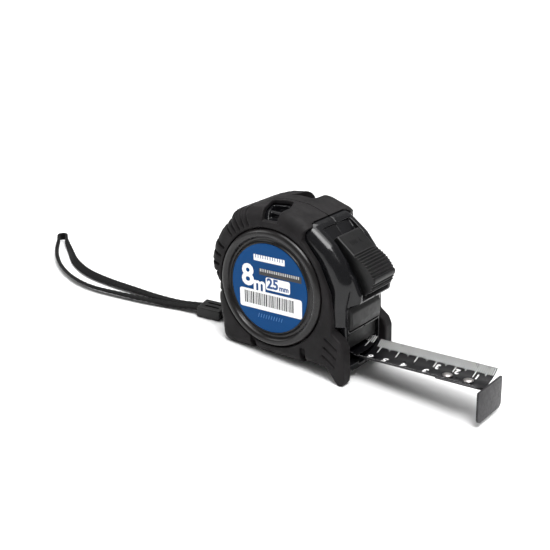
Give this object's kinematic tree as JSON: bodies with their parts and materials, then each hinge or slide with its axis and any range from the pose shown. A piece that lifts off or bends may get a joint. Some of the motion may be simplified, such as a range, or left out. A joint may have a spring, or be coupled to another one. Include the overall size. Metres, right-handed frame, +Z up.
{
  "type": "tape measure",
  "caption": "Pocket tape measure with a rubber-gripped case, coiled cupped steel blade and end hook, sliding thumb lock, belt clip and wrist strap.",
  "frame": {"origin": "on the surface it stands on, midway between the rubber back and the end hook and midway between the right ring and the belt clip", "axes": "+X forwards over the end hook (the blade itself climbs 6.5 degrees), +Y to the left towards the belt clip, +Z up"},
  "size_m": [0.2837, 0.0579, 0.0737],
  "materials": {
    "abs_black": "moulded ABS, glossy",
    "rubber_grip": "soft moulded rubber, dull, lightly textured",
    "bezel_black": "satin black with fine turned rings",
    "disc_print": "printed disc: blue and black areas, white figures",
    "button_black": "fine-grained moulded plastic",
    "nylon_grey": "satin dark grey nylon",
    "nylon_black": "satin black nylon",
    "blade_black": "black lacquered spring steel with white graduations",
    "steel_bright": "nickel plated steel",
    "spring_steel": "plain spring steel",
    "steel_black": "black coated steel, satin",
    "braid_black": "flat woven polyester braid, black"
  },
  "bodies": {
    "case": {"case_right": "abs_black", "case_left": "abs_black", "grip_right": "rubber_grip", "grip_left": "rubber_grip", "bezel_right": "bezel_black", "bezel_left": "bezel_black", "label_right": "disc_print", "label_left": "disc_print", "nose_bumper": "nylon_grey", "blade_guide": "nylon_grey", "centre_post": "spring_steel", "belt_clip": "steel_bright", "clip_screw": "steel_bright", "case_screw_1": "steel_bright", "case_screw_2": "steel_bright", "case_screw_3": "steel_bright", "strap_pin": "spring_steel", "blade_run": "blade_black", "wrist_strap": "braid_black", "strap_slider": "nylon_black"},
    "reel": {"reel_drum": "nylon_black", "drum_cover": "nylon_black", "mainspring": "spring_steel", "blade_coil": "blade_black"},
    "blade": {"blade": "blade_black", "rivet_1": "steel_bright", "rivet_2": "steel_bright"},
    "hook": {"end_hook": "steel_black"},
    "lock": {"lock_button": "button_black", "lock_lever": "nylon_black", "brake_pad": "rubber_grip"}
  },
  "joints": [
    {"name": "reel_spin", "type": "hinge", "parent": "case", "child": "reel", "pos_m": [-0.03552, -0.0035, 0.03613], "axis": [0, 1, 0], "range_deg": [0, 133.7]},
    {"name": "blade_slide", "type": "slide", "parent": "case", "child": "blade", "axis": [0.9936, 0, 0.1125], "range_m": [-0.0621, 0]},
    {"name": "hook_play", "type": "slide", "parent": "blade", "child": "hook", "axis": [0.9936, 0, 0.1125], "range_m": [-0.001, 0]},
    {"name": "lock_slide", "type": "slide", "parent": "case", "child": "lock", "axis": [-0.76, 0, 0.65], "range_m": [0, 0.006]}
  ],
  "couplings": [
    {"joint": "blade_slide", "follows": "reel_spin", "m_per_rad": -0.0266}
  ]
}
